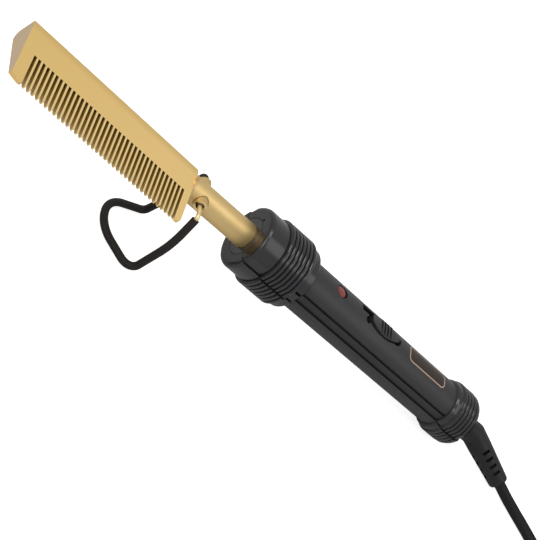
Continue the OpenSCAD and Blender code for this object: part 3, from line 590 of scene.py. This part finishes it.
# Moulded plug: a ribbed neck that swells into a waisted body with ridges across it.
# A ring is its distance from the cord's end, half width, half height and squareness (2 is round)
def makePlug():
    body = (11.7, 6.15, 4.4)
    plug = {"place": (277, -38, 30.2), "sides": 40,
            "neck": [(0, 4.1, 4.1, 2), (0.6, 4.3, 4.3, 2), (1.5, 4.3, 4.3, 2), (1.9, 3.8, 3.8, 2),
                     (2.5, 3.8, 3.8, 2), (2.9, 4.5, 4.5, 2), (3.9, 4.5, 4.5, 2), (4.3, 4, 4, 2),
                     (4.9, 4, 4, 2), (5.3, 4.8, 4.7, 2), (6.4, 4.9, 4.8, 2.1), (7.6, 5.6, 5, 2.3),
                     (9.2, 7.6, 5.4, 2.7), (11, 9.8, 5.8, 3.2), (13, 11.2, 6, 3.8), (15, *body)],
            "ridges": {"from": 15.4, "to": 27, "pitch": 1.3, "across": 0.35, "high": 0.14},
            "face": [(27.5, *body), (31, 11.95, 6.18, 4.8), (33.2, 11.9, 6.15, 5), (33.8, 11.5, 5.75, 5),
                     (34, 11, 5.3, 5)]}
    ridges = plug["ridges"]
    groove = (body[0] - ridges["across"], body[1] - ridges["high"], body[2])
    rings = list(plug["neck"])
    back = ridges["from"]
    while back < ridges["to"]:
        rings += [(back, *body), (back + ridges["pitch"] / 2, *groove)]
        back += ridges["pitch"]
    rings += plug["face"]

    x, y, z = plug["place"]
    loops = []
    for back, halfWide, halfHigh, squareness in rings:
        loop = []
        for k in range(plug["sides"]):
            angle = 2 * math.pi * k / plug["sides"]
            c, s = math.cos(angle), math.sin(angle)
            loop.append(groundPoint(x + back, y + halfWide * math.copysign(abs(c) ** (2 / squareness), c),
                                    z + halfHigh * math.copysign(abs(s) ** (2 / squareness), s)))
        loops.append(loop)
    piece = addPiece("mouldedPlug", skin("mouldedPlug", loops, 35), plugPlastic, "cord")
    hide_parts("plug_body")
    print("plug made")
    return piece


# Hook and loop strap round the bundle: a band with rolled edges. "side" is half of its path as distances
# from the bundle's middle and heights, from the floor to the top
def makeTie():
    tie = {"angle": math.radians(110), "middleRadius": 33, "width": 8, "thick": 0.85, "roll": 0.25,
           "lowest": 0.05, "steps": 4,
           "side": [(6.5, 0.1), (6.5, 6), (6.5, 12), (6.5, 18), (6.35, 22.6), (5.1, 26.2), (3.6, 29.3),
                    (1.8, 30.5)]}
    corners = [(tie["middleRadius"] + a, height) for a, height in tie["side"]]
    corners += [(tie["middleRadius"] - a, height) for a, height in reversed(tie["side"])]
    line = smoothLine([Vector((a, height, 0)) for a, height in corners], tie["steps"])
    outward = Vector((math.cos(tie["angle"]), math.sin(tie["angle"]), 0))
    across = Vector((-outward.y, outward.x, 0))
    middle = Vector((*coil["centre"], 0))
    w, t, roll = tie["width"] / 2, tie["thick"] / 2, tie["roll"]
    section = [(-w, -t + roll), (-w + roll, -t), (w - roll, -t), (w, -t + roll),
               (w, t - roll), (w - roll, t), (-w + roll, t), (-w, t - roll)]
    loops = []
    for i, p in enumerate(line):
        run = (line[min(i + 1, len(line) - 1)] - line[max(i - 1, 0)]).normalized()
        normal = Vector((run.y, -run.x, 0))
        loop = []
        for a, b in section:
            q = p + normal * b
            point = middle + outward * q.x + across * a
            loop.append(groundPoint(point.x, point.y, max(q.y, tie["lowest"])))
        loops.append(loop)
    piece = addPiece("coilTie", skin("coilTie", loops, 50), tieStrap, "cord")
    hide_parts("cord_tie")
    print("tie made")
    return piece


makeCord([makePlug(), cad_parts["plug_blades"], makeTie(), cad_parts["cord_boot"]])


# Plate on the grip: a dark bare field inside a fine line, both following the grip's curve.
# gripFront and gripRear are the place and radius of the grip's ends
plate = {"from": 106.9, "to": 134.6, "halfArc": 12.6 * math.radians(19.5), "corner": 2.3, "line": 0.6,
         "fieldProud": 0.03, "lineProud": 0.05, "lineSunk": 0.15, "gripFront": (34, 12.76),
         "gripRear": (145.1, 12.47), "columns": 60, "rows": 14, "cornerSteps": 8, "lineStep": 1.2}


def onGrip(x, arc, lift):
    (x0, r0), (x1, r1) = plate["gripFront"], plate["gripRear"]
    radius = r0 + (r1 - r0) * (x - x0) / (x1 - x0)
    angle = arc / radius
    return toolPoint(x, (radius + lift) * math.sin(angle), (radius + lift) * math.cos(angle))


# Columns lie closer at both ends, where the corners need them
def makePlateField():
    x0, x1, corner, rows = plate["from"], plate["to"], plate["corner"], plate["rows"]
    work = bmesh.new()
    grid = []
    for i in range(plate["columns"] + 1):
        t = 0.5 - 0.5 * math.cos(math.pi * i / plate["columns"])
        x = x0 + (x1 - x0) * t
        inCorner = max(corner - min(x - x0, x1 - x), 0)
        reach = plate["halfArc"] - corner + math.sqrt(max(corner ** 2 - inCorner ** 2, 0))
        grid.append([work.verts.new(onGrip(x, reach * (2 * k / rows - 1), plate["fieldProud"]))
                     for k in range(rows + 1)])
    for first, second in zip(grid, grid[1:]):
        for k in range(rows):
            work.faces.new((first[k], first[k + 1], second[k + 1], second[k]))
    bmesh.ops.remove_doubles(work, verts=work.verts, dist=0.01 * mm)
    addPiece("plateField", finishMesh(work, "plateField", 40), plateField, "handle")


# The line follows a rounded outline; each point has a place and the direction that faces outward there
def makePlateLine():
    x0, x1, half, corner = plate["from"], plate["to"], plate["halfArc"], plate["corner"]
    outline = []
    for cx, cy, start in ((x1 - corner, half - corner, 0), (x0 + corner, half - corner, 90),
                          (x0 + corner, -half + corner, 180), (x1 - corner, -half + corner, 270)):
        for k in range(plate["cornerSteps"] + 1):
            angle = math.radians(start + 90 * k / plate["cornerSteps"])
            c, s = math.cos(angle), math.sin(angle)
            outline.append((cx + corner * c, cy + corner * s, c, s))
    points = []
    for first, second in zip(outline, outline[1:] + outline[:1]):
        gap = math.hypot(second[0] - first[0], second[1] - first[1])
        steps = max(1, round(gap / plate["lineStep"]))
        points += [[p + (q - p) * k / steps for p, q in zip(first, second)] for k in range(steps)]
    edge, proud, sunk = plate["line"] / 2, plate["lineProud"], plate["lineSunk"]
    section = ((-edge, -sunk), (-edge, proud), (edge, proud), (edge, -sunk))
    loops = [[onGrip(x + outX * off, y + outY * off, lift) for off, lift in section]
             for x, y, outX, outY in points]
    mesh = skin("plateLine", loops, 30, closed=True)
    addPiece("plateLine", mesh, plateLine, "handle")


makePlateField()
makePlateLine()
print("plate made")

for name, finish in nodeFinish.items():
    dressNode(name, finish)
for name, width in softEdges.items():
    softenEdges(name, width)
print("nodes dressed")
